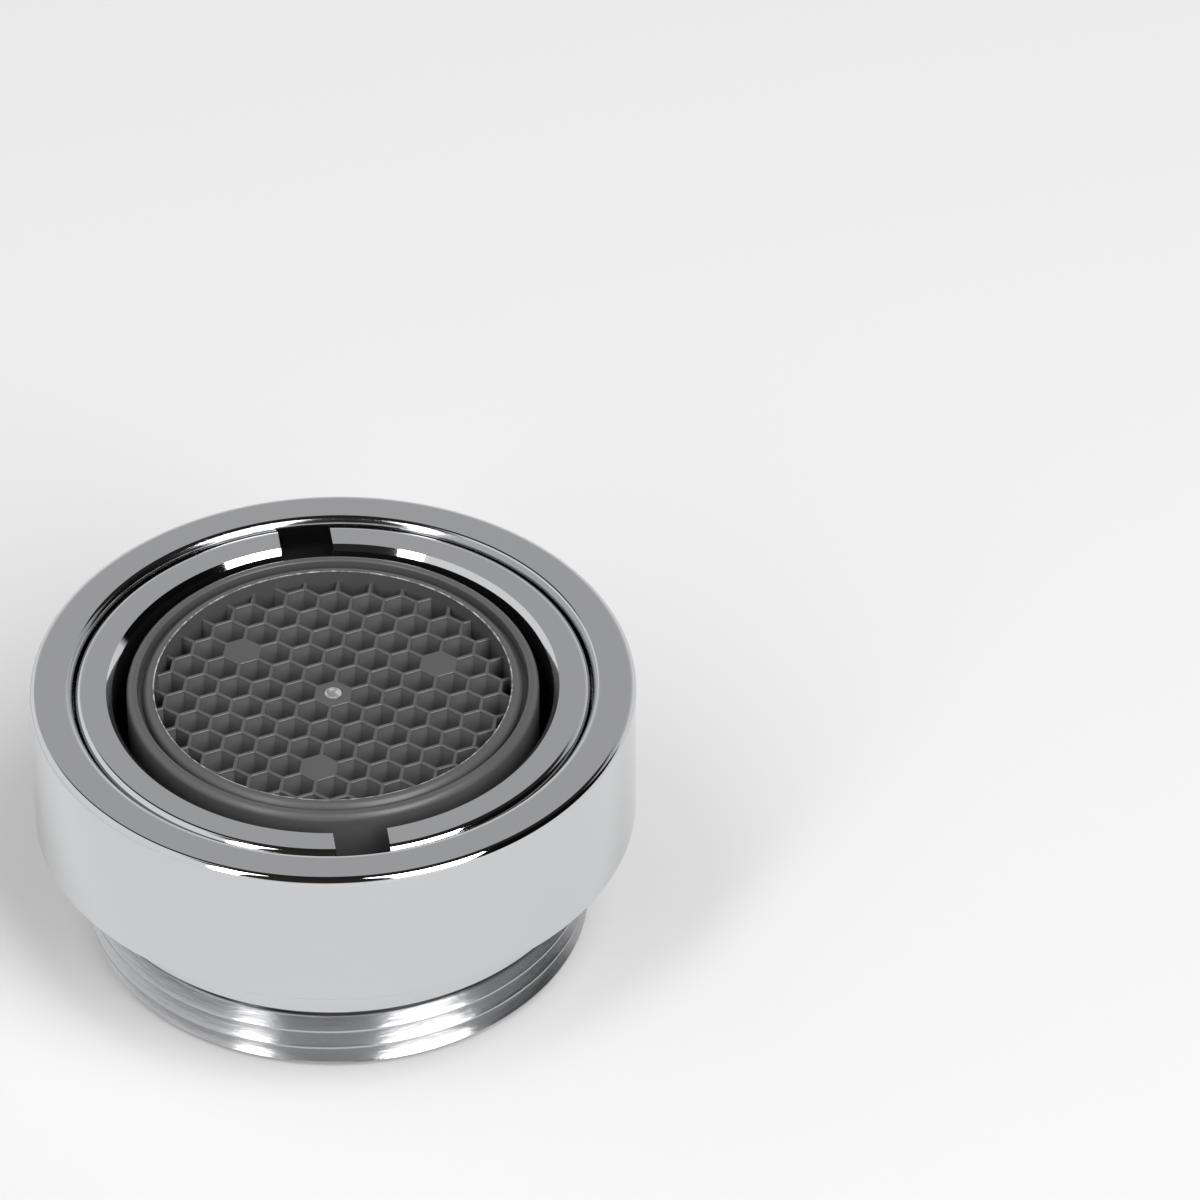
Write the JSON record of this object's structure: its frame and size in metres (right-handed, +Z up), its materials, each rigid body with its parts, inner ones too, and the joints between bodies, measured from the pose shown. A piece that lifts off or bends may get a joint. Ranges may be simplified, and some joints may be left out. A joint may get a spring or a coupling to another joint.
{
  "type": "tap aerator",
  "caption": "Round chromed tap aerator with a free-spinning outer shroud, a key-slotted threaded sleeve and a honeycomb outlet that mixes air into the jet.",
  "frame": {"origin": "centre of the sealing washer's free face, which the part stands on", "axes": "+Z runs up the axis of the water jet to the outlet; the key slots lie close to the Y axis, turned 8.1 degrees anticlockwise from above"},
  "size_m": [0.0284, 0.0284, 0.0135],
  "materials": {
    "shroud_chrome": "turned and chromed, finely brushed round the side",
    "sleeve_chrome": "turned and chromed, satin end face",
    "spring_steel": "drawn wire",
    "washer_rubber": "moulded, matt",
    "insert_plastic": "moulded, satin",
    "grid_plastic": "moulded, satin",
    "plate_plastic": "moulded, satin",
    "regulator_plastic": "moulded, satin",
    "seal_rubber": "moulded, matt",
    "filter_plastic": "moulded, satin"
  },
  "bodies": {
    "housing": {"threaded_sleeve": "sleeve_chrome", "sealing_washer": "washer_rubber", "insert_body": "insert_plastic", "interrupter_grid_upper": "grid_plastic", "interrupter_grid_lower": "grid_plastic", "jet_plate": "plate_plastic", "regulator_base": "regulator_plastic", "regulator_seal": "seal_rubber", "regulator_cap": "regulator_plastic", "inlet_filter": "filter_plastic"},
    "shroud": {"shroud_ring": "shroud_chrome", "retaining_ring": "spring_steel"}
  },
  "joints": [
    {"name": "shroud_spin", "type": "hinge", "parent": "housing", "child": "shroud", "pos_m": [0, 0, 0.00988], "axis": [0, 0, 1], "continuous": true}
  ]
}
